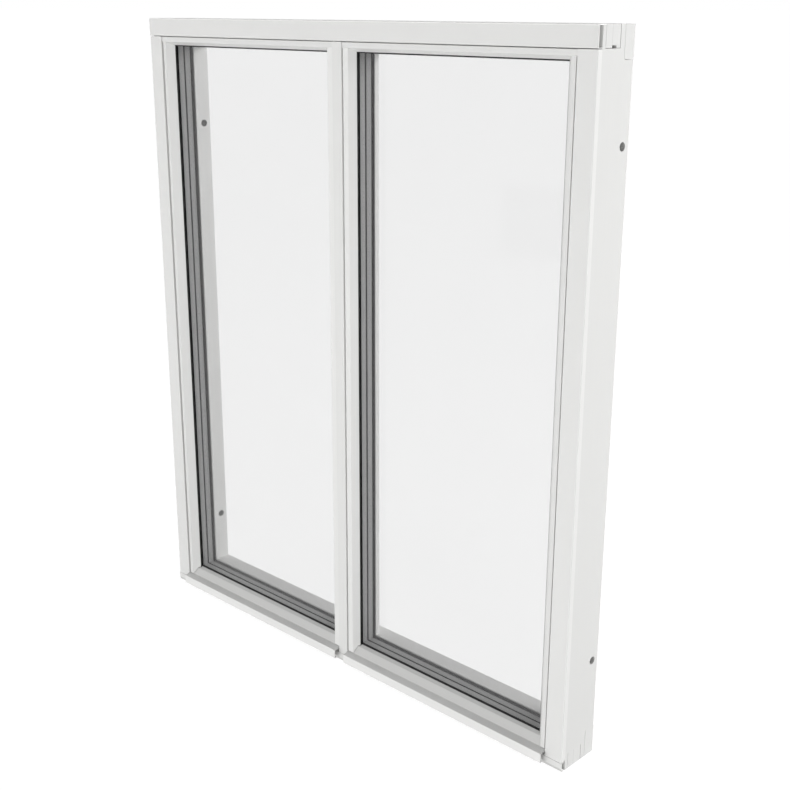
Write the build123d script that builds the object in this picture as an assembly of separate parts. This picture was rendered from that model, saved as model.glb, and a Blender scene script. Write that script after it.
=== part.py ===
from build123d import *
import os

os.makedirs("parts", exist_ok=True)

# Fixed two-bay window, timber frame with an aluminium skin outside, triple glazing.
# Millimetres. X runs along the width, -Y is outdoors, +Z is up.
# The origin is the middle of the frame's underside.
# Sections are drawn with y from the outer face of the cladding (0) to the room side (DEPTH)
# and s from the outside edge of the frame inwards.

# Overall size
WIDTH = 1380.0
HEIGHT = 1580.0
TIMBER_DEPTH = 105.0
CLAD_DEPTH = 13.0
DEPTH = CLAD_DEPTH + TIMBER_DEPTH
MID = WIDTH / 2

# Glazing unit: three panes and two cavities
PANE = 4.0
CAVITY = 16.0
UNIT = 3 * PANE + 2 * CAVITY
OUT_GASKET = 4.0
IN_GASKET = 3.0
BEAD_BACK = 21.0
UNIT_FRONT = BEAD_BACK + OUT_GASKET
UNIT_BACK = UNIT_FRONT + UNIT
STOP = UNIT_BACK + IN_GASKET
MID_PANE_INSET = 1.5
SEAL = 6.0
SPACER = 7.0
BUTYL = 0.5
GLASS_COVER = SEAL + SPACER
GASKET_SHOW = 2.5
HEAD_GASKET_SHOW = 2.0

# Timber sections: floor of the glazing rebate and full reveal, from the outside edge
HEAD_FLOOR = 43.0
HEAD_REVEAL = 71.0
HEAD_TENON = 64.4
SILL_FLOOR = 38.0
SILL_REVEAL = 66.0
JAMB_FLOOR = 56.0
JAMB_REVEAL = 82.5
MULLION_FLOOR = 24.0
MULLION_REVEAL = 47.0
MULLION_BACK = STOP + 15.0
GROOVE_FRONT = 44.0
GROOVE_BACK = 59.0
GROOVE_DEPTH = 5.0
ARRIS = 2.0

# Corner joints: two tenons on head and sill, two fingers on the jambs
FINGER_BACK = 23.0
TENON_FRONT = 24.0
TENON_REAR_GAP = 1.8
TENON_UNDER_GAP = 0.8
FINGER_2_BACK = 86.0
JOINT = 0.8
TENON_ROUND = 6.0

# Fixing holes through the jambs: heights from the bottom and from the top
HOLE_D = 18.0
HOLE_Y = 97.3
RIGHT_HOLES = (239.0, HEIGHT - 227.0)
LEFT_HOLES = (204.0, HEIGHT - 264.0)

# Cladding
SKIN = 1.6
CLAD_ROUND = 2.0
JAMB_CLAD_ROUND = 3.0
HEAD_CLAD = 43.0
JAMB_CLAD = 46.0
MULLION_CLAD = 15.0
SILL_CLAD_LOW = 0.6
SILL_CLAD_TURN = (0.0, 8.5)
SILL_CLAD_LIP = (2.5, 6.5)
SILL_CLAD_TOP = 21.5
SILL_CLAD_REAR = 26.0
CLAD_GAP = 1.5

# Glazing beads: front face, start and end of the bevel, from the outside edge
BEAD_FACE = 3.0
BEAD_WALL = 2.0
HEAD_BEAD = (45.0, 57.0, 65.5)
JAMB_BEAD = (50.0, 61.0, 77.0)
MULLION_BEAD = (17.0, 33.0, 43.5)
BEAD_END_GAP = 0.5
SILL_NOSE = -15.0
SILL_NOSE_LOW = 10.0
SILL_NOSE_TOP = 32.5
SILL_BREAK = (5.0, 36.3)
SILL_SLOPE_TOP = (16.0, 53.6)
SILL_LIP_END = (24.5, 57.9)
SILL_GASKET_TOP = 53.5
SIDE_BEAD_GAP = 2.5
SILL_FOOT = 14.5
SILL_FOOT_TOP = 48.5

# Sight lines of the glass: faces of the spacer bars
JAMB_SIGHT = JAMB_BEAD[2]
MULLION_SIGHT = MULLION_BEAD[2]
SILL_SIGHT = 61.0
HEAD_SIGHT = HEAD_BEAD[2] + 0.5

# Setting blocks under each unit
BLOCK_LENGTH = 100.0
BLOCK_WIDTH = 40.0
BLOCK_INSET = 80.0

# Edges of one bay, in X for the left bay
BAY_LEFT = -MID + JAMB_CLAD + BEAD_END_GAP
BAY_RIGHT = -MULLION_CLAD - BEAD_END_GAP
GASKET_LEFT = -MID + JAMB_SIGHT + 0.4
GASKET_RIGHT = -MULLION_SIGHT - 0.4
GLASS_LEFT = -MID + JAMB_SIGHT - GLASS_COVER
GLASS_RIGHT = -MULLION_SIGHT + GLASS_COVER
GLASS_LOW = SILL_SIGHT - GLASS_COVER
GLASS_TOP = HEIGHT - HEAD_SIGHT + GLASS_COVER


def fy(y):
    """Depth measured from the cladding face, as a Y coordinate."""
    return y - DEPTH / 2


def outline(points, place):
    """Flat face through the corners; a third number on a corner is its rounding."""
    face = Face(Wire.make_polygon([place(p[0], p[1]) for p in points], close=True))
    for radius in sorted({p[2] for p in points if len(p) == 3}):
        spots = [Vector(*place(p[0], p[1])) for p in points if len(p) == 3 and p[2] == radius]
        corners = []
        for vertex in face.vertices():
            here = Vector(vertex.X, vertex.Y, vertex.Z)
            if min((here - spot).length for spot in spots) < 0.001:
                corners.append(vertex)
        face = face.fillet_2d(radius, corners)
    return face


def bar_x(points, x0, x1):
    """Bar along X from a section in (y, z)."""
    face = outline(points, lambda y, z: (x0, fy(y), z))
    return extrude(face, amount=x1 - x0, dir=(1, 0, 0))


def bar_z(points, z0, z1):
    """Bar along Z from a section in (x, y)."""
    face = outline(points, lambda x, y: (x, fy(y), z0))
    return extrude(face, amount=z1 - z0, dir=(0, 0, 1))


def block(x0, x1, y0, y1, z0, z1):
    """Plain block between the given limits."""
    return Pos((x0 + x1) / 2, fy((y0 + y1) / 2), (z0 + z1) / 2) * Box(x1 - x0, y1 - y0, z1 - z0)


def ring(x0, x1, z0, z1, y0, y1, width):
    """Rectangular ring in the plane of the glass."""
    outer = block(x0, x1, y0, y1, z0, z1)
    inner = block(x0 + width, x1 - width, y0 - 1, y1 + 1, z0 + width, z1 - width)
    return outer - inner


def wall(path, thickness):
    """Thin wall: the path and the same path set off to its right, mitred."""
    normals = []
    for a, b in zip(path, path[1:]):
        length = ((b[0] - a[0]) ** 2 + (b[1] - a[1]) ** 2) ** 0.5
        normals.append(((b[1] - a[1]) / length, -(b[0] - a[0]) / length))
    inner = []
    for i, point in enumerate(path):
        n1 = normals[max(i - 1, 0)]
        n2 = normals[min(i, len(normals) - 1)]
        k = thickness / (1 + n1[0] * n2[0] + n1[1] * n2[1])
        inner.append((point[0] + (n1[0] + n2[0]) * k, point[1] + (n1[1] + n2[1]) * k))
    return list(path) + inner[::-1]


def to_right(shape):
    """The same piece on the other side of the middle."""
    return mirror(shape, about=Plane.YZ)


def rail_section(floor, reveal, flip):
    """Section of head or sill in (y, z); flip counts s down from the top."""
    points = [
        (CLAD_DEPTH, 0.0), (DEPTH, 0.0, ARRIS), (DEPTH, reveal, ARRIS), (STOP, reveal, ARRIS),
        (STOP, floor), (GROOVE_BACK, floor), (GROOVE_BACK, floor - GROOVE_DEPTH),
        (GROOVE_FRONT, floor - GROOVE_DEPTH), (GROOVE_FRONT, floor), (CLAD_DEPTH, floor),
    ]
    if flip:
        points = [(p[0], HEIGHT - p[1]) + tuple(p[2:]) for p in points]
    return points


def rail(floor, reveal, tenon, flip, grooved_ends):
    """Head or sill timber with two tenons at each end, the groove run through them or stopped."""
    shape = bar_x(rail_section(floor, reveal, flip), -MID + JAMB_REVEAL, MID - JAMB_REVEAL)
    front = [(CLAD_DEPTH, 0.0), (STOP, 0.0), (STOP, floor), (GROOVE_BACK, floor),
             (GROOVE_BACK, floor - GROOVE_DEPTH), (GROOVE_FRONT, floor - GROOVE_DEPTH),
             (GROOVE_FRONT, floor), (CLAD_DEPTH, floor)]
    first = [(TENON_FRONT, 0.0)] + [(min(p[0], STOP - TENON_REAR_GAP), p[1]) for p in front[1:7]]
    first += [(TENON_FRONT, floor)]
    if not grooved_ends:
        first = [first[0], first[1], first[2], first[-1]]
    second = [(FINGER_2_BACK + JOINT, 0.0), (DEPTH, 0.0, ARRIS), (DEPTH, tenon),
              (FINGER_2_BACK + JOINT, tenon, TENON_ROUND)]
    if flip:
        front = [(p[0], HEIGHT - p[1]) for p in front]
        first = [(p[0], HEIGHT - p[1]) for p in first]
        second = [(p[0], HEIGHT - p[1]) + tuple(p[2:]) for p in second]
    for x0, x1, section in (
        (-MID + JAMB_FLOOR, -MID + JAMB_REVEAL, front),
        (-MID, -MID + JAMB_FLOOR, first),
        (-MID, -MID + JAMB_REVEAL, second),
    ):
        end = bar_x(section, x0, x1)
        shape = shape + end + to_right(end)
    return shape


def head_timber():
    return rail(HEAD_FLOOR, HEAD_REVEAL, HEAD_TENON, True, True)


def sill_timber():
    return rail(SILL_FLOOR, SILL_REVEAL, SILL_REVEAL, False, False)


def left_jamb(holes):
    """Jamb timber: two fingers at each end, fixing holes from side to side."""
    section = [
        (-MID, CLAD_DEPTH), (-MID + JAMB_FLOOR, CLAD_DEPTH), (-MID + JAMB_FLOOR, GROOVE_FRONT),
        (-MID + JAMB_FLOOR - GROOVE_DEPTH, GROOVE_FRONT),
        (-MID + JAMB_FLOOR - GROOVE_DEPTH, GROOVE_BACK), (-MID + JAMB_FLOOR, GROOVE_BACK),
        (-MID + JAMB_FLOOR, STOP), (-MID + JAMB_REVEAL, STOP, ARRIS),
        (-MID + JAMB_REVEAL, DEPTH, ARRIS), (-MID, DEPTH, ARRIS),
    ]
    shape = bar_z(section, 0.0, HEIGHT)
    far = -MID + JAMB_REVEAL + 1
    for low, high, tenon in (
        (-1.0, SILL_FLOOR, SILL_REVEAL),
        (HEIGHT - HEAD_FLOOR - TENON_UNDER_GAP, HEIGHT + 1, HEIGHT - HEAD_TENON - TENON_UNDER_GAP),
    ):
        shape = shape - block(-MID - 1, -MID + JAMB_FLOOR + 1, FINGER_BACK, STOP, low, high)
        edge = -1.0 if low < 0 else HEIGHT + 1
        slot = [(FINGER_2_BACK, edge), (DEPTH + 1, edge), (DEPTH + 1, tenon),
                (FINGER_2_BACK, tenon, TENON_ROUND)]
        shape = shape - bar_x(slot, -MID - 1, far)
    for z in holes:
        drill = Pos(-MID + JAMB_REVEAL / 2, fy(HOLE_Y), z) * Rot(0, 90, 0)
        shape = shape - drill * Cylinder(HOLE_D / 2, JAMB_REVEAL + 10)
    return shape


def mullion_timber():
    """Centre post, shallower than the frame on the room side."""
    front = [(-MULLION_FLOOR, CLAD_DEPTH), (MULLION_FLOOR, CLAD_DEPTH)]
    back = [(MULLION_FLOOR, STOP), (-MULLION_FLOOR, STOP)]
    right = [(MULLION_FLOOR, GROOVE_FRONT), (MULLION_FLOOR - GROOVE_DEPTH, GROOVE_FRONT),
             (MULLION_FLOOR - GROOVE_DEPTH, GROOVE_BACK), (MULLION_FLOOR, GROOVE_BACK)]
    left = [(-p[0], p[1]) for p in right[::-1]]
    web = bar_z(front + right + back + left, SILL_FLOOR, HEIGHT - HEAD_FLOOR)
    rear = bar_z([(-MULLION_REVEAL, STOP, ARRIS), (MULLION_REVEAL, STOP, ARRIS),
                  (MULLION_REVEAL, MULLION_BACK, ARRIS), (-MULLION_REVEAL, MULLION_BACK, ARRIS)],
                 SILL_REVEAL, HEIGHT - HEAD_REVEAL)
    return web + rear


def head_cladding():
    """Channel along the top, open at both ends."""
    section = [(CLAD_DEPTH, HEIGHT), (0.0, HEIGHT, CLAD_ROUND), (0.0, HEIGHT - HEAD_CLAD, 1.0),
               (CLAD_DEPTH, HEIGHT - HEAD_CLAD), (CLAD_DEPTH, HEIGHT - HEAD_CLAD + SKIN),
               (SKIN, HEIGHT - HEAD_CLAD + SKIN), (SKIN, HEIGHT - SKIN), (CLAD_DEPTH, HEIGHT - SKIN)]
    return bar_x(section, -MID, MID)


def sill_cladding():
    """Base section with a sloping top and a hooked lower edge, open at both ends."""
    path = [(SILL_CLAD_LIP[1], SILL_CLAD_LOW), (SILL_CLAD_LIP[0], SILL_CLAD_LOW), SILL_CLAD_TURN,
            (0.0, SILL_CLAD_TOP), (CLAD_DEPTH, SILL_CLAD_REAR)]
    points = wall(path, SKIN)
    points[1] = points[1] + (0.8,)
    points[2] = points[2] + (2.0,)
    points[3] = points[3] + (1.0,)
    return bar_x([(min(p[0], CLAD_DEPTH),) + tuple(p[1:]) for p in points], -MID, MID)


def below_sill_cladding(x0, x1):
    """Everything under the sloping top of the base section, with the joint left open."""
    section = [(-1.0, -1.0), (-1.0, SILL_CLAD_TOP + CLAD_GAP), (0.0, SILL_CLAD_TOP + CLAD_GAP),
               (CLAD_DEPTH + 1, SILL_CLAD_REAR + CLAD_GAP + 0.35), (CLAD_DEPTH + 1, -1.0)]
    return bar_x(section, x0, x1)


def post_cladding(x0, x1, round_0, round_1):
    """Channel up a jamb or the centre post between the head and the base section."""
    inner = (x0 + SKIN, SKIN, round_0 - SKIN) if round_0 > SKIN else (x0 + SKIN, SKIN)
    section = [(x0, CLAD_DEPTH), (x0, 0.0, round_0), (x1, 0.0, round_1), (x1, CLAD_DEPTH),
               (x1 - SKIN, CLAD_DEPTH), (x1 - SKIN, SKIN), inner, (x0 + SKIN, CLAD_DEPTH)]
    shape = bar_z(section, SILL_CLAD_TOP - 1, HEIGHT - HEAD_CLAD - CLAD_GAP)
    return shape - below_sill_cladding(x0 - 1, x1 + 1)


def left_jamb_cladding():
    return post_cladding(-MID, -MID + JAMB_CLAD, JAMB_CLAD_ROUND, 1.0)


def mullion_cladding():
    return post_cladding(-MULLION_CLAD, MULLION_CLAD, 1.0, 1.0)


def clear_of_timber(shape):
    """A bead runs over the fronts of the posts and fits between them behind."""
    left = block(-MID, -MID + JAMB_FLOOR + BEAD_END_GAP, CLAD_DEPTH, STOP, 0, HEIGHT)
    right = block(-MULLION_FLOOR - BEAD_END_GAP, 0, CLAD_DEPTH, STOP, 0, HEIGHT)
    return shape - left - right


def head_bead():
    """Top bead: bevelled face, and a foot on the floor of the rebate."""
    start, turn, end = HEAD_BEAD
    section = [(BEAD_FACE, start, 0.8), (BEAD_FACE, turn, 1.5), (BEAD_BACK, end, 0.6),
               (BEAD_BACK, end - 2.5), (BEAD_FACE + BEAD_WALL, turn - 1.5),
               (BEAD_FACE + BEAD_WALL, start + BEAD_WALL), (16.0, start + BEAD_WALL),
               (16.0, HEAD_FLOOR), (14.0, HEAD_FLOOR), (14.0, start)]
    section = [(p[0], HEIGHT - p[1]) + tuple(p[2:]) for p in section]
    return clear_of_timber(bar_x(section, BAY_LEFT, BAY_RIGHT))


def sill_bead():
    """Bottom bead: nose over the base section, flat, slope and a lip against the glass."""
    path = [(SILL_NOSE + 5, SILL_NOSE_LOW), (SILL_NOSE, SILL_NOSE_LOW), (SILL_NOSE, SILL_NOSE_TOP),
            SILL_BREAK, SILL_SLOPE_TOP, SILL_LIP_END]
    points = wall(path, BEAD_WALL)
    points[2] = points[2] + (1.0,)
    points[3] = points[3] + (1.5,)
    # The lip ends square to the glass
    tilt = (SILL_LIP_END[1] - SILL_SLOPE_TOP[1]) / (SILL_LIP_END[0] - SILL_SLOPE_TOP[0])
    points[6] = (SILL_LIP_END[0], SILL_LIP_END[1] - BEAD_WALL * (1 + tilt ** 2) ** 0.5)
    shape = bar_x(points, BAY_LEFT, BAY_RIGHT)
    rise = (SILL_CLAD_REAR - SILL_CLAD_TOP) / CLAD_DEPTH
    leg = [(6.0, SILL_BREAK[1] - 0.5), (8.0, SILL_BREAK[1] + 1.5),
           (8.0, SILL_CLAD_TOP + 8.0 * rise), (6.0, SILL_CLAD_TOP + 6.0 * rise)]
    foot = [(SILL_FOOT, SILL_FLOOR), (SILL_FOOT + BEAD_WALL, SILL_FLOOR),
            (SILL_FOOT + BEAD_WALL, SILL_FOOT_TOP + 1.5 * BEAD_WALL), (SILL_FOOT, SILL_FOOT_TOP)]
    shape = shape + bar_x(leg, BAY_LEFT, BAY_RIGHT) + bar_x(foot, BAY_LEFT, BAY_RIGHT)
    # The lip stops short of the upright gaskets at both ends
    for x0, x1 in ((-MID, GASKET_LEFT + BEAD_END_GAP), (GASKET_RIGHT - BEAD_END_GAP, 0.0)):
        shape = shape - block(x0, x1, BEAD_BACK - 0.5, UNIT_FRONT + 1, SILL_FOOT_TOP, HEIGHT)
    return clear_of_timber(shape)


def side_bead(section):
    """Upright bead, coped under the top bead and stopped clear of the bottom one."""
    shape = bar_z(section, SILL_NOSE_TOP, HEIGHT - HEAD_BEAD[0])
    turn, end = HEAD_BEAD[1] + 0.3, HEAD_BEAD[2] + 0.3
    above = [(BEAD_FACE - 2, 0.0), (BEAD_FACE - 2, turn), (BEAD_FACE, turn), (BEAD_BACK, end),
             (BEAD_BACK + 9, end), (BEAD_BACK + 9, 0.0)]
    above = [(y, HEIGHT - s) for y, s in above]
    below = [(SILL_NOSE, 0.0), (SILL_NOSE, SILL_NOSE_TOP + SIDE_BEAD_GAP),
             (SILL_BREAK[0], SILL_BREAK[1] + SIDE_BEAD_GAP),
             (SILL_SLOPE_TOP[0] - 1, SILL_SLOPE_TOP[1] + SIDE_BEAD_GAP),
             (SILL_LIP_END[0], SILL_LIP_END[1] + BEAD_END_GAP), (SILL_LIP_END[0], 0.0)]
    return shape - bar_x(above, -MID, MID) - bar_x(below, -MID, MID)


def jamb_bead():
    start, turn, end = [-MID + s for s in JAMB_BEAD]
    return side_bead([(start, BEAD_FACE, 0.8), (turn, BEAD_FACE, 1.5), (end, BEAD_BACK, 0.6),
                      (end - 2.6, BEAD_BACK), (turn - 0.9, BEAD_FACE + BEAD_WALL),
                      (start + BEAD_WALL, BEAD_FACE + BEAD_WALL),
                      (start + BEAD_WALL, CLAD_DEPTH), (start, CLAD_DEPTH)])


def mullion_bead():
    start, turn, end = [-s for s in MULLION_BEAD]
    return side_bead([(start, BEAD_FACE, 0.8), (turn, BEAD_FACE, 1.5), (end, BEAD_BACK, 0.6),
                      (end + 2.4, BEAD_BACK), (turn + 1.0, BEAD_FACE + BEAD_WALL),
                      (start - BEAD_WALL, BEAD_FACE + BEAD_WALL),
                      (start - BEAD_WALL, CLAD_DEPTH), (start, CLAD_DEPTH)])


def outer_gasket():
    """Seal between beads and outer pane, showing just inside the beads."""
    z0, z1 = SILL_GASKET_TOP, HEIGHT - HEAD_BEAD[2] - HEAD_GASKET_SHOW
    return ring(GASKET_LEFT - 6, GASKET_RIGHT + 6, z0 - 6, z1 + 6, BEAD_BACK, UNIT_FRONT, 6)


def inner_gasket():
    """Seal between the inner pane and the timber stop, showing inside the spacer's line."""
    x0, x1 = -MID + JAMB_SIGHT + GASKET_SHOW, -MULLION_SIGHT - GASKET_SHOW
    z0, z1 = SILL_SIGHT + GASKET_SHOW, HEIGHT - HEAD_SIGHT - GASKET_SHOW
    return ring(x0 - 7, x1 + 7, z0 - 7, z1 + 7, UNIT_BACK, STOP, 7)


def pane(front, inset):
    return block(GLASS_LEFT + inset, GLASS_RIGHT - inset, front, front + PANE,
                 GLASS_LOW + inset, GLASS_TOP - inset)


def spacer(front):
    """Spacer bar bent round the cavity, with a film of butyl on both sides."""
    x0, x1 = GLASS_LEFT + SEAL, GLASS_RIGHT - SEAL
    z0, z1 = GLASS_LOW + SEAL, GLASS_TOP - SEAL
    return ring(x0, x1, z0, z1, front + BUTYL, front + CAVITY - BUTYL, SPACER)


def edge_seal():
    """Seal round the edges of the glazing unit, and the butyl films beside the spacers."""
    front, back = UNIT_FRONT + PANE, UNIT_BACK - PANE
    shape = ring(GLASS_LEFT, GLASS_RIGHT, GLASS_LOW, GLASS_TOP, front, back, GLASS_COVER)
    shape = shape - pane(front + CAVITY, MID_PANE_INSET)
    return shape - spacer(front) - spacer(back - CAVITY)


def setting_block(x0):
    middle = (UNIT_FRONT + UNIT_BACK) / 2
    return block(x0, x0 + BLOCK_LENGTH, middle - BLOCK_WIDTH / 2, middle + BLOCK_WIDTH / 2,
                 SILL_FLOOR, GLASS_LOW)


# Frame and cladding
nodes = {
    "head_timber": head_timber(),
    "sill_timber": sill_timber(),
    "left_jamb_timber": left_jamb(LEFT_HOLES),
    "right_jamb_timber": to_right(left_jamb(RIGHT_HOLES)),
    "mullion_timber": mullion_timber(),
    "head_cladding": head_cladding(),
    "sill_cladding": sill_cladding(),
    "left_jamb_cladding": left_jamb_cladding(),
    "right_jamb_cladding": to_right(left_jamb_cladding()),
    "mullion_cladding": mullion_cladding(),
}

# One bay, drawn on the left and mirrored to the right
bay = {
    "head_bead": head_bead(),
    "sill_bead": sill_bead(),
    "jamb_side_bead": jamb_bead(),
    "mullion_side_bead": mullion_bead(),
    "outer_gasket": outer_gasket(),
    "inner_gasket": inner_gasket(),
    "outer_pane": pane(UNIT_FRONT, 0.0),
    "middle_pane": pane(UNIT_FRONT + PANE + CAVITY, MID_PANE_INSET),
    "inner_pane": pane(UNIT_BACK - PANE, 0.0),
    "outer_spacer": spacer(UNIT_FRONT + PANE),
    "inner_spacer": spacer(UNIT_BACK - PANE - CAVITY),
    "edge_seal": edge_seal(),
    "jamb_side_setting_block": setting_block(GLASS_LEFT + BLOCK_INSET),
    "mullion_side_setting_block": setting_block(GLASS_RIGHT - BLOCK_INSET - BLOCK_LENGTH),
}
for name, shape in bay.items():
    nodes["left_bay_" + name] = shape
    nodes["right_bay_" + name] = to_right(shape)

for name, shape in nodes.items():
    shape.label = name
    export_step(shape, "parts/" + name + ".step")
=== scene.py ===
import math

import bpy
from mathutils import Matrix, Vector


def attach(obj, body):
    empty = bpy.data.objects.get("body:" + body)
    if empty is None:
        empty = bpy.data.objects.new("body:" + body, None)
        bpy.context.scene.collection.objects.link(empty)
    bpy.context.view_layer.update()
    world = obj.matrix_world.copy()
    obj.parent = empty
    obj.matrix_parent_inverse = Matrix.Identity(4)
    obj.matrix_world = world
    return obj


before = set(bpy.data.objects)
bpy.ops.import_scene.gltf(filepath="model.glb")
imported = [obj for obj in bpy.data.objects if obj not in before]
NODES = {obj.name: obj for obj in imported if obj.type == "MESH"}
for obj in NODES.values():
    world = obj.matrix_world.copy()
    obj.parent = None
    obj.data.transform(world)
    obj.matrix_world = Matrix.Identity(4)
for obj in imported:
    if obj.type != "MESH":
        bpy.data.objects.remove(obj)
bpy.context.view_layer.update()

# Outputs that are picked by number
OBJECT_COORDINATES = 3
FACING = 1
DOT_VALUE = 1
CAMERA_RAY, GLOSSY_RAY, TRANSMISSION_RAY = 0, 3, 6

# Where a tone starts and is full, in metres on the frame; most tones are painted light or shade
HEAD_CORNER_Z = (1.5776, 1.5782)
JAMB_CORNER_X = (0.6866, 0.6874)
JAMB_CORNER_FRONT = (0.0554, 0.0562)
TOP_Z = (1.5788, 1.5794)
END_X = (0.6888, 0.6894)
LOW_EDGE_Z = (0.0082, 0.0090)
FLAT_Y = (-0.0736, -0.0730)
SLOPE_Y = (-0.0545, -0.0535)
LIP_Y = (-0.0435, -0.0425)
GLUE_Y = -0.0148
GLUE_HALF_WIDTH = (0.0003, 0.0007)
BORE_Y = 0.0383
BORE_RADIUS = (0.0092, 0.0095)
LEFT_BORES = (0.204, 1.316)
RIGHT_BORES = (0.239, 1.353)

# Spans of a noise that are stretched to the full range of a mask
MIDDLE = (0.35, 0.65)
BROAD = (0.3, 0.7)


# Shader building

class Wire:
    """One value in a material's node tree, with sums written as Python does."""

    def __init__(self, tree, socket):
        self.tree = tree
        self.socket = socket

    def node(self, kind, settings=None, inputs=None, out=0):
        """Adds a node, its settings first, then its socket values or links."""
        made = self.tree.nodes.new(kind)
        for key, value in (settings or {}).items():
            setattr(made, key, value)
        for key, value in (inputs or {}).items():
            if isinstance(value, Wire):
                self.tree.links.new(value.socket, made.inputs[key])
            else:
                made.inputs[key].default_value = value
        return Wire(self.tree, made.outputs[out])

    def sum(self, operation, *values):
        return self.node("ShaderNodeMath", {"operation": operation}, dict(enumerate(values)))

    def __add__(self, other):
        return self.sum("ADD", self, other)

    def __mul__(self, other):
        return self.sum("MULTIPLY", self, other)

    __rmul__ = __mul__

    def __sub__(self, other):
        return self.sum("SUBTRACT", self, other)

    def __rsub__(self, other):
        return self.sum("SUBTRACT", other, self)

    def size(self):
        return self.sum("ABSOLUTE", self)

    def clamp(self, low, high, to_low=0.0, to_high=1.0):
        """Straight-line rescale, held at both ends."""
        return self.node("ShaderNodeMapRange", {"clamp": True},
                         {"Value": self, "From Min": low, "From Max": high,
                          "To Min": to_low, "To Max": to_high})


def finish_material(name):
    """Empty material: returns it, a wire to start from and its output node."""
    material = bpy.data.materials.new(name)
    material.use_nodes = True
    tree = material.node_tree
    tree.nodes.clear()
    output = tree.nodes.new("ShaderNodeOutputMaterial")
    return material, Wire(tree, None), output


def place(wire, stretch=(1.0, 1.0, 1.0)):
    """The piece's own coordinates in metres, stretched."""
    coords = wire.node("ShaderNodeTexCoord", out=OBJECT_COORDINATES)
    return wire.node("ShaderNodeMapping", {}, {"Vector": coords, "Scale": stretch})


def axes(wire):
    """The piece's own coordinates as three wires."""
    coords = wire.node("ShaderNodeTexCoord", out=OBJECT_COORDINATES)
    split = wire.node("ShaderNodeSeparateXYZ", {}, {0: coords})
    return [Wire(wire.tree, split.socket.node.outputs[number]) for number in range(3)]


def noise(wire, where, scale, detail=2.0, rough=0.5):
    return wire.node("ShaderNodeTexNoise", {},
                     {"Vector": where, "Scale": scale, "Detail": detail, "Roughness": rough})


def shades(colour, factor):
    return [part * factor for part in colour]


def blend_colours(wire, mask, low, high):
    """Colour between two, by a mask."""
    made = wire.tree.nodes.new("ShaderNodeMix")
    made.data_type = "RGBA"
    factor_slot, low_slot, high_slot, colour_out = 0, 6, 7, 2
    wire.tree.links.new(mask.socket, made.inputs[factor_slot])
    for slot_number, colour in ((low_slot, low), (high_slot, high)):
        if isinstance(colour, Wire):
            wire.tree.links.new(colour.socket, made.inputs[slot_number])
        else:
            made.inputs[slot_number].default_value = (*colour, 1.0)
    return Wire(wire.tree, made.outputs[colour_out])


def surface(wire, output, inputs):
    """Principled surface with the given sockets, joined to the output."""
    shader = wire.node("ShaderNodeBsdfPrincipled", {}, inputs)
    wire.tree.links.new(shader.socket, output.inputs["Surface"])


def bump(wire, height, strength, distance):
    return wire.node("ShaderNodeBump", {}, {"Height": height, "Strength": strength, "Distance": distance})


# Masks of the places where light or shade is painted into the colour, and of the glue lines

def painted_highlight_head_top(wire):
    """The rounded corner along the head section's top, and the top itself, where a painted highlight
    lightens the coat.
    """
    return axes(wire)[2].clamp(*HEAD_CORNER_Z)


def painted_highlight_jamb_corner(wire):
    """The rounded corner up a jamb section's outer side, where a painted highlight lightens the coat."""
    x, y, z = axes(wire)
    return x.size().clamp(*JAMB_CORNER_X) * (-1.0 * y).clamp(*JAMB_CORNER_FRONT)


# Painted shade: the sill cladding's lower edge, which faces down, is made darker
def painted_shade_low_edge(wire):
    return axes(wire)[2].clamp(*LOW_EDGE_Z, 1.0, 0.0)


def painted_shade_sill_flat(wire):
    return axes(wire)[1].clamp(*FLAT_Y)


def painted_shade_sill_slope(wire):
    return axes(wire)[1].clamp(*SLOPE_Y)


def painted_shade_sill_lip(wire):
    return axes(wire)[1].clamp(*LIP_Y)


def painted_light_top_mask(wire):
    return axes(wire)[2].clamp(*TOP_Z)


def end_face(wire):
    return axes(wire)[0].size().clamp(*END_X)


def glue_line(wire):
    """Laminated tenons: a fine line between the boards shows in the end faces."""
    off = (axes(wire)[1] + -GLUE_Y).size().clamp(*GLUE_HALF_WIDTH, 1.0, 0.0)
    return end_face(wire) * off * 0.4


def shaded_bore_wall(height):
    """Mask maker for the wall of the fixing hole at that height."""
    def mask(wire):
        x, y, z = axes(wire)
        across, up = y - BORE_Y, z - height
        return wire.sum("SQRT", across * across + up * up).clamp(*BORE_RADIUS, 1.0, 0.0)
    return mask


def with_tones(wire, base, tones):
    """The base colour with each tone laid over it where its mask says."""
    for mask_of, colour in tones:
        base = blend_colours(wire, mask_of(wire), base, colour)
    return base


# Finishes

def powder_coat(name, colour, rough, tones=()):
    """White powder coat on aluminium: orange peel, faint cloudiness and a satin sheen."""
    material, wire, output = finish_material(name)
    where = place(wire)
    cloud = noise(wire, where, 6.0, 3.0)
    peel = noise(wire, where, 900.0, 2.0, 0.55)
    speck = noise(wire, where, 2600.0, 1.0)
    mask = cloud.clamp(*BROAD) * 0.7 + speck.clamp(*MIDDLE) * 0.3
    base = with_tones(wire, blend_colours(wire, mask, shades(colour, 0.985), colour), tones)
    roughness = cloud.clamp(*BROAD, rough - 0.04, rough + 0.05) + speck.clamp(*BROAD, -0.02, 0.02)
    surface(wire, output, {
        "Base Color": base, "Roughness": roughness, "Specular IOR Level": 0.4,
        "Normal": bump(wire, peel, 0.10, 0.0002),
    })
    return material


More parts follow.
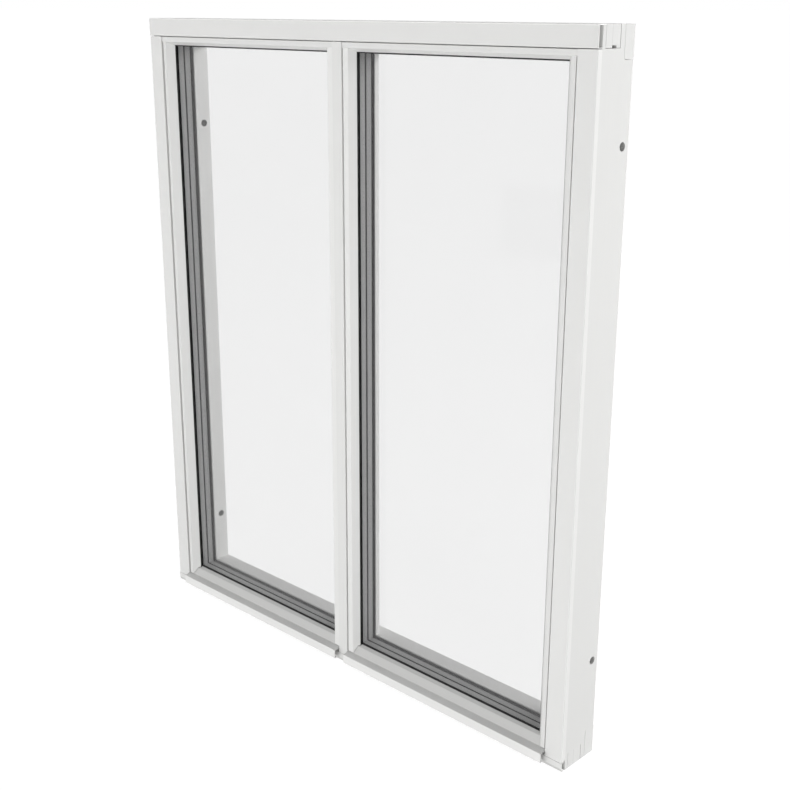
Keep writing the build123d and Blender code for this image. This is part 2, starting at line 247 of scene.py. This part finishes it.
def painted_timber(name, along, colour, tones=()):
    """Opaque white paint on pine: the grain reads faintly along the member."""
    material, wire, output = finish_material(name)
    stretch = [1.0, 1.0, 1.0]
    stretch["XYZ".index(along)] = 0.03
    where = place(wire, tuple(stretch))
    sway = noise(wire, place(wire), 1.7, 2.0)
    grain = noise(wire, where, 260.0, 4.0, 0.6)
    pores = noise(wire, where, 1400.0, 2.0, 0.6)
    brush = noise(wire, place(wire), 420.0, 2.0)
    mask = grain.clamp(*MIDDLE) * 0.5 + sway.clamp(*BROAD) * 0.5
    base = with_tones(wire, blend_colours(wire, mask, shades(colour, 0.985), colour), tones)
    height = grain * 0.6 + pores * 0.25 + brush * 0.15
    surface(wire, output, {
        "Base Color": base, "Roughness": sway.clamp(*BROAD, 0.42, 0.5), "Specular IOR Level": 0.4,
        "Normal": bump(wire, height, 0.12, 0.0004),
    })
    return material


def rubber(name, colour, rough):
    """Matt seal with a dusty bloom."""
    material, wire, output = finish_material(name)
    where = place(wire)
    bloom = noise(wire, where, 35.0, 3.0)
    fine = noise(wire, where, 1800.0, 2.0)
    base = blend_colours(wire, bloom.clamp(0.4, 0.7), colour, shades(colour, 1.6))
    surface(wire, output, {
        "Base Color": base, "Roughness": bloom.clamp(*BROAD, rough - 0.06, rough + 0.08),
        "Specular IOR Level": 0.3, "Normal": bump(wire, fine, 0.15, 0.0002),
    })
    return material


def spacer_metal(name, colour):
    """Grey anodised spacer bar, lightly drawn along its length."""
    material, wire, output = finish_material(name)
    drawn = noise(wire, place(wire, (1.0, 30.0, 1.0)), 90.0, 3.0)
    patch = noise(wire, place(wire), 14.0, 2.0)
    mask = drawn.clamp(*MIDDLE) * 0.6 + patch.clamp(*BROAD) * 0.4
    surface(wire, output, {
        "Base Color": blend_colours(wire, mask, shades(colour, 0.9), shades(colour, 1.05)),
        "Roughness": patch.clamp(*BROAD, 0.45, 0.58), "Normal": bump(wire, drawn, 0.1, 0.0002),
    })
    return material


def clear_glass(name, tint, sheen):
    """Thin float glass: a faint tint to look through and a little of the room on its faces."""
    material, wire, output = finish_material(name)
    roll = noise(wire, place(wire, (1.0, 1.0, 0.25)), 3.0, 1.0)
    film = noise(wire, place(wire), 5.0, 2.0)
    mirror_face = wire.node("ShaderNodeBsdfPrincipled", {}, {
        "Base Color": blend_colours(wire, film.clamp(*BROAD), (0.93, 0.93, 0.93), (0.97, 0.97, 0.97)),
        "Metallic": 1.0, "Roughness": 0.02, "Normal": bump(wire, roll, 0.02, 0.0005),
    })
    through = wire.node("ShaderNodeBsdfTransparent", {}, {"Color": (*tint, 1.0)})
    facing = wire.node("ShaderNodeLayerWeight", {}, {"Blend": 0.5}, out=FACING)
    # Reflection grows from 4 % face on to all of it at a grazing angle
    share = (wire.sum("POWER", facing, 5.0) * 0.96 + 0.04) * sheen
    mix = wire.node("ShaderNodeMixShader", {}, {0: share, 1: through, 2: mirror_face})
    wire.tree.links.new(mix.socket, output.inputs["Surface"])
    return material


def warm(level):
    """White of the given level, a touch warm."""
    return (level, level, level * 0.985)


WHITE = warm(0.74)
# Painted shade: the end faces of the head and sill, on the frame's sides, are made darker; the dark glue
# line in them is a real joint
SHADED_END_PAINT = warm(0.67)
# Painted light: the top faces of the timbers are made near white
PAINTED_LIGHT_ON_TOPS = (painted_light_top_mask, warm(0.97))
SHADED_ENDS_AND_GLUE_LINES = [(end_face, SHADED_END_PAINT), (glue_line, shades(SHADED_END_PAINT, 0.45))]


def painted_bore_shade(heights):
    """Painted shade on the walls of a jamb's fixing holes, which are made darker than the paint around
    them.
    """
    return [(shaded_bore_wall(height), warm(0.50)) for height in heights]


skin = powder_coat("white_powder_coat", WHITE, 0.42)
# Painted highlight: the head cladding's top corner and top are made near white
head_skin = powder_coat("head_powder_coat", WHITE, 0.42, [(painted_highlight_head_top, warm(0.97))])
# Painted shade along the sill cladding's low edge
base_skin = powder_coat("base_powder_coat", WHITE, 0.42, [(painted_shade_low_edge, warm(0.60))])
# Painted highlight: a lighter stripe up each jamb cladding's rounded outer corner
jamb_skin = powder_coat("jamb_powder_coat", WHITE, 0.42, [(painted_highlight_jamb_corner, warm(0.77))])
bead_skin = powder_coat("bead_powder_coat", warm(0.715), 0.40)
# Painted light: the beads along the centre post are a lighter copy of the bead coat
lit_post_bead_skin = powder_coat("lit_post_bead_powder_coat", warm(0.775), 0.40)
# Painted light and shade: the nose is made lighter, and the flat, the slope and the lip behind the nose
# darker and darker, for how light falls on them
lit_and_shaded_sill_bead_skin = powder_coat("sill_bead_painted_light_and_shade", warm(0.82), 0.40, [
    (painted_shade_sill_flat, warm(0.69)), (painted_shade_sill_slope, warm(0.605)), (painted_shade_sill_lip, warm(0.57)),
])
# Painted light and shade: the same white paint has a different level on each timber, lighter on the left
# jamb and centre post and darker on the right jamb, for how the light falls on them
head_paint = painted_timber("paint_on_head", "X", warm(0.755), [PAINTED_LIGHT_ON_TOPS, *SHADED_ENDS_AND_GLUE_LINES])
sill_paint = painted_timber("paint_on_sill", "X", warm(0.78), SHADED_ENDS_AND_GLUE_LINES)
lit_left_paint = painted_timber("lit_paint_on_left_jamb", "Z", warm(0.87), [PAINTED_LIGHT_ON_TOPS, *painted_bore_shade(LEFT_BORES)])
shaded_right_paint = painted_timber("shaded_paint_on_right_jamb", "Z", warm(0.67), [PAINTED_LIGHT_ON_TOPS, *painted_bore_shade(RIGHT_BORES)])
lit_post_paint = painted_timber("lit_paint_on_centre_post", "Z", warm(0.90))
black_seal = rubber("black_gasket", (0.010, 0.010, 0.010), 0.6)
dark_seal = rubber("edge_sealant", (0.016, 0.016, 0.017), 0.7)
block_plastic = rubber("setting_block_plastic", (0.05, 0.05, 0.05), 0.55)
bar_metal = spacer_metal("grey_spacer", (0.315, 0.315, 0.315))
# Painted shade: the dots in the spacer bars are near black, standing in for the shade inside the holes
painted_hole_shade = rubber("spacer_hole_painted_shade", (0.02, 0.02, 0.02), 0.8)
pane_glass = clear_glass("clear_pane", (0.9735, 0.9735, 0.9735), 0.65)

# The first ending that a node's name has gives its finish
FINISHES = (
    ("head_timber", head_paint), ("sill_timber", sill_paint), ("left_jamb_timber", lit_left_paint),
    ("right_jamb_timber", shaded_right_paint), ("mullion_timber", lit_post_paint),
    ("head_cladding", head_skin), ("jamb_cladding", jamb_skin), ("sill_cladding", base_skin),
    ("cladding", skin), ("mullion_side_bead", lit_post_bead_skin), ("sill_bead", lit_and_shaded_sill_bead_skin),
    ("bead", bead_skin), ("pane", pane_glass), ("gasket", black_seal), ("edge_seal", dark_seal),
    ("spacer", bar_metal), ("setting_block", block_plastic),
)

for node_name, node in NODES.items():
    finish = next(material for ending, material in FINISHES if node_name.endswith(ending))
    node.data.materials.clear()
    node.data.materials.append(finish)


# Rows of small holes in the spacer bars, on the sides that face the cavity

HOLE_PITCH = 0.005
HOLE_RADIUS = 0.0006
HOLE_SUNK = 0.0003
ROW_OFFSET = 0.0035
SPACER_DEPTH = 0.007


def limits(mesh_object):
    """Lowest and highest corner of a piece, in metres."""
    corners = [vertex.co for vertex in mesh_object.data.vertices]
    return [[pick(c[axis] for c in corners) for axis in range(3)] for pick in (min, max)]


def hole_rows(spacer):
    """Two straight rows along each of the four cavity sides of one spacer, as edges."""
    low, high = limits(spacer)
    wall = SPACER_DEPTH - HOLE_SUNK
    x0, x1, z0, z1 = low[0] + wall, high[0] - wall, low[2] + wall, high[2] - wall
    corners = [(x0, z0), (x1, z0), (x1, z1), (x0, z1)]
    middle = (low[1] + high[1]) / 2
    rows = []
    for y in (middle - ROW_OFFSET, middle + ROW_OFFSET):
        for a, b in zip(corners, corners[1:] + corners[:1]):
            rows.append(((a[0], y, a[1]), (b[0], y, b[1])))
    return rows


def hole_tree(dot_material):
    """Node group: a small dot at every pitch along the input's edges."""
    tree = bpy.data.node_groups.new("spacer_holes", "GeometryNodeTree")
    face = tree.interface
    face.new_socket("Rows", in_out="INPUT", socket_type="NodeSocketGeometry")
    pitch = face.new_socket("Pitch", in_out="INPUT", socket_type="NodeSocketFloat")
    radius = face.new_socket("Radius", in_out="INPUT", socket_type="NodeSocketFloat")
    face.new_socket("Holes", in_out="OUTPUT", socket_type="NodeSocketGeometry")
    made = {}
    for key, kind in (("start", "NodeGroupInput"), ("curve", "GeometryNodeMeshToCurve"),
                      ("steps", "GeometryNodeResampleCurve"), ("dot", "GeometryNodeMeshIcoSphere"),
                      ("spread", "GeometryNodeInstanceOnPoints"), ("real", "GeometryNodeRealizeInstances"),
                      ("paint", "GeometryNodeSetMaterial"), ("end", "NodeGroupOutput")):
        made[key] = tree.nodes.new(kind)
    made["steps"].mode = "LENGTH"
    made["dot"].inputs["Subdivisions"].default_value = 1
    made["paint"].inputs["Material"].default_value = dot_material
    for a, out, b, into in (
        ("start", "Rows", "curve", "Mesh"), ("curve", "Curve", "steps", "Curve"),
        ("start", "Pitch", "steps", "Length"), ("start", "Radius", "dot", "Radius"),
        ("steps", "Curve", "spread", "Points"), ("dot", "Mesh", "spread", "Instance"),
        ("spread", "Instances", "real", "Geometry"), ("real", "Geometry", "paint", "Geometry"),
        ("paint", "Geometry", "end", "Holes"),
    ):
        tree.links.new(made[a].outputs[out], made[b].inputs[into])
    return tree, pitch.identifier, radius.identifier


def spacer_holes(bay, tree, pitch_id, radius_id):
    """The holes of both spacers of one bay, as one piece."""
    rows = [row for bar in ("outer_spacer", "inner_spacer") for row in hole_rows(NODES[bay + "_" + bar])]
    name = bay + "_spacer_holes"
    mesh = bpy.data.meshes.new(name + "_rows")
    ends = [end for row in rows for end in row]
    mesh.from_pydata(ends, [(first, first + 1) for first in range(0, len(ends), 2)], [])
    guide = bpy.data.objects.new(name + "_guide", mesh)
    bpy.context.scene.collection.objects.link(guide)
    grow = guide.modifiers.new("holes", "NODES")
    grow.node_group = tree
    grow[pitch_id] = HOLE_PITCH
    grow[radius_id] = HOLE_RADIUS
    bpy.context.view_layer.update()
    ready = bpy.data.meshes.new_from_object(guide.evaluated_get(bpy.context.evaluated_depsgraph_get()))
    guide.modifiers.remove(grow)
    bpy.data.objects.remove(guide)
    holes = bpy.data.objects.new(name, ready)
    bpy.context.scene.collection.objects.link(holes)
    ready.materials.clear()
    ready.materials.append(painted_hole_shade)
    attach(holes, "root")


hole_group, pitch_id, radius_id = hole_tree(painted_hole_shade)
for bay in ("left_bay", "right_bay"):
    spacer_holes(bay, hole_group, pitch_id, radius_id)


# Studio

FLOOR_REACH = 900.0
FLOOR_GLOW = 1.12
FLOOR_SHARE = 0.85
EVEN_LIGHT = 0.019
# Direction, narrowness and strength of the world's soft lobes
LOBES = [
    ((0.0, -1.0, 0.0), 2.0, 0.33), ((0.707, -0.707, 0.0), 6.0, 0.365),
    ((0.0, 0.0, 1.0), 1.0, 0.36), ((0.0, 1.0, 0.0), 2.0, 1.20),
]
# Name, place, aim, size and power
LAMPS = [
    ("front_lamp", (-0.5, -4.5, 0.28), (-0.1, 0.0, 0.7), (5.0, 0.45), 111.0),
    ("front_right_lamp", (3.3, -3.3, 0.8), (0.0, 0.0, 0.8), (3.0, 0.8), 21.0),
    ("room_side_lamp", (3.9, 2.6, 2.2), (0.0, 0.0, 0.75), (3.0, 1.2), 135.0),
]
# The photograph's camera, solved from the frame's corners
EYE = (2.01009, -1.98297, 1.60694)
PITCH, YAW, ROLL = math.radians(17.6634), math.radians(-43.5465), math.radians(0.1787)
FOCAL_PIXELS = 1216.29
PICTURE_WIDTH = 790.0
SENSOR = 36.0


def light_ray(wire, kind):
    """1 for rays of that kind, else 0."""
    return wire.node("ShaderNodeLightPath", out=kind)


def studio_floor():
    """Pale ground that shows white to the eye and keeps a soft shadow."""
    mesh = bpy.data.meshes.new("studio_floor")
    r = FLOOR_REACH
    mesh.from_pydata([(-r, -r, 0), (r, -r, 0), (r, r, 0), (-r, r, 0)], [], [(0, 1, 2, 3)])
    floor = bpy.data.objects.new("studio_floor", mesh)
    bpy.context.scene.collection.objects.link(floor)
    material, wire, output = finish_material("studio_floor_white")
    ground = wire.node("ShaderNodeBsdfDiffuse", {}, {"Color": (0.9, 0.9, 0.9, 1.0)})
    white = wire.node("ShaderNodeEmission", {}, {"Color": (1.0, 1.0, 1.0, 1.0), "Strength": FLOOR_GLOW})
    seen = wire.sum("MAXIMUM", light_ray(wire, CAMERA_RAY), light_ray(wire, TRANSMISSION_RAY))
    glow = wire.sum("MAXIMUM", seen * FLOOR_SHARE, light_ray(wire, GLOSSY_RAY))
    mix = wire.node("ShaderNodeMixShader", {}, {0: glow, 1: ground, 2: white})
    wire.tree.links.new(mix.socket, output.inputs["Surface"])
    mesh.materials.append(material)


def studio_world():
    """White to look at; it lights the piece evenly, plus a soft lobe from each given side."""
    world = bpy.data.worlds.new("studio_world")
    bpy.context.scene.world = world
    world.use_nodes = True
    tree = world.node_tree
    tree.nodes.clear()
    wire = Wire(tree, None)
    seen = wire.sum("MAXIMUM", light_ray(wire, CAMERA_RAY),
                    wire.sum("MAXIMUM", light_ray(wire, GLOSSY_RAY), light_ray(wire, TRANSMISSION_RAY)))
    look = wire.node("ShaderNodeTexCoord")
    light = EVEN_LIGHT
    for aim, narrowness, strength in LOBES:
        along = wire.node("ShaderNodeVectorMath", {"operation": "DOT_PRODUCT"},
                          {0: look, 1: aim}, out=DOT_VALUE)
        lobe = wire.sum("POWER", wire.sum("MAXIMUM", along, 0.0), narrowness) * strength
        light = wire.sum("ADD", light, lobe)
    level = seen + (1.0 - seen) * light
    sky = wire.node("ShaderNodeBackground", {}, {"Color": (1.0, 1.0, 1.0, 1.0), "Strength": level})
    output = tree.nodes.new("ShaderNodeOutputWorld")
    tree.links.new(sky.socket, output.inputs["Surface"])


def soft_lamp(name, where, towards, size, power):
    lamp = bpy.data.lights.new(name, "AREA")
    lamp.shape = "RECTANGLE"
    lamp.size, lamp.size_y = size
    lamp.energy = power
    holder = bpy.data.objects.new(name, lamp)
    holder.location = where
    holder.rotation_euler = (Vector(towards) - Vector(where)).to_track_quat("-Z", "Y").to_euler()
    holder.visible_glossy = False
    bpy.context.scene.collection.objects.link(holder)


def photo_camera():
    ahead = Vector((math.sin(YAW) * math.cos(PITCH), math.cos(YAW) * math.cos(PITCH), -math.sin(PITCH)))
    right = Vector((math.cos(YAW), -math.sin(YAW), 0.0))
    up = right.cross(ahead)
    side = math.cos(ROLL) * right + math.sin(ROLL) * up
    top = -math.sin(ROLL) * right + math.cos(ROLL) * up
    data = bpy.data.cameras.new("photo_camera")
    data.sensor_fit = "HORIZONTAL"
    data.sensor_width = SENSOR
    data.lens = SENSOR * FOCAL_PIXELS / PICTURE_WIDTH
    data.clip_start, data.clip_end = 0.05, 2000.0
    camera = bpy.data.objects.new("photo_camera", data)
    turn = Matrix((side, top, -ahead)).transposed().to_4x4()
    camera.matrix_world = Matrix.Translation(EYE) @ turn
    bpy.context.scene.collection.objects.link(camera)
    bpy.context.scene.camera = camera


studio_floor()
studio_world()
for lamp_name, where, towards, size, power in LAMPS:
    soft_lamp(lamp_name, where, towards, size, power)
photo_camera()
bpy.context.scene.view_settings.view_transform = "Standard"
